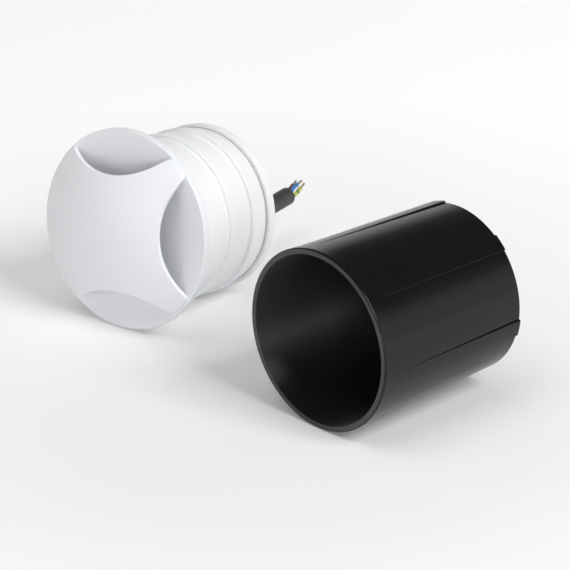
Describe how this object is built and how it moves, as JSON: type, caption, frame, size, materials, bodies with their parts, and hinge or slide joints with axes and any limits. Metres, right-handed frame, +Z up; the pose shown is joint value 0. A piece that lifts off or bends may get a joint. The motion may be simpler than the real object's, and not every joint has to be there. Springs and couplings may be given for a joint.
{
  "type": "recessed step light",
  "caption": "Round recessed step light with a domed cover and scooped side windows, barbed housing, cable stub and black wall sleeve.",
  "frame": {"origin": "centre of the sleeve's mouth, 42.4 mm above the surface that both pieces lie on", "axes": "+Y from the sleeve's mouth towards its base, +Z up; the light lies to the left, at -X, its rear end pointing along +Y and a little to -X and down"},
  "size_m": [0.2341, 0.1539, 0.0935],
  "materials": {
    "white_cover": "matte white powder coat",
    "white_body": "matte white moulding",
    "black_plastic": "semi-gloss black moulding",
    "seal_rubber": "soft grey-black rubber",
    "black_rubber": "matte cable jacket",
    "frosted_glass": "frosted",
    "white_board": "solder resist",
    "lamp_chip": "phosphor",
    "steel": "zinc plated",
    "bare_aluminium": "die-cast",
    "red_lead": "insulation",
    "brass": "turned",
    "green_board": "solder resist",
    "dark_parts": "moulded",
    "white_terminal": "moulded",
    "grey_nylon": "moulded",
    "brown_core": "insulation",
    "blue_core": "insulation",
    "earth_core": "yellow and green insulation",
    "copper_wire": "tinned strands"
  },
  "bodies": {
    "light": {"diffuser": "frosted_glass", "diffuser_seal": "seal_rubber", "led_board": "white_board", "led_chips": "lamp_chip", "board_screws": "steel", "heat_sink": "bare_aluminium", "led_leads": "red_lead", "standoffs": "brass", "driver_board": "green_board", "driver_parts": "dark_parts", "terminal_block": "white_terminal", "housing": "white_body", "rear_gasket": "seal_rubber", "rear_cap": "white_body", "rear_screws": "steel", "gland_body": "grey_nylon", "gland_locknut": "grey_nylon", "gland_seal": "seal_rubber", "cable_inner": "black_rubber", "inner_cores": "brown_core", "cable": "black_rubber", "core_brown": "brown_core", "core_blue": "blue_core", "core_earth": "earth_core", "core_tips": "copper_wire"},
    "cover": {"front_cover": "white_cover", "cover_oring": "seal_rubber"},
    "gland_nut": {"gland_nut": "grey_nylon"},
    "sleeve": {"sleeve": "black_plastic", "sleeve_grommet": "seal_rubber"}
  },
  "joints": [
    {"name": "cover_pull", "type": "slide", "parent": "light", "child": "cover", "axis": [0.1465, -0.9803, 0.1324], "range_m": [0, 0.02]},
    {"name": "gland_nut_turn", "type": "hinge", "parent": "light", "child": "gland_nut", "pos_m": [-0.15196, 0.0808, -0.01662], "axis": [-0.1465, 0.9803, -0.1324], "continuous": true},
    {"name": "sleeve_slide", "type": "slide", "parent": "light", "child": "sleeve", "axis": [0, 1, 0], "range_m": [0, 0.058]}
  ]
}
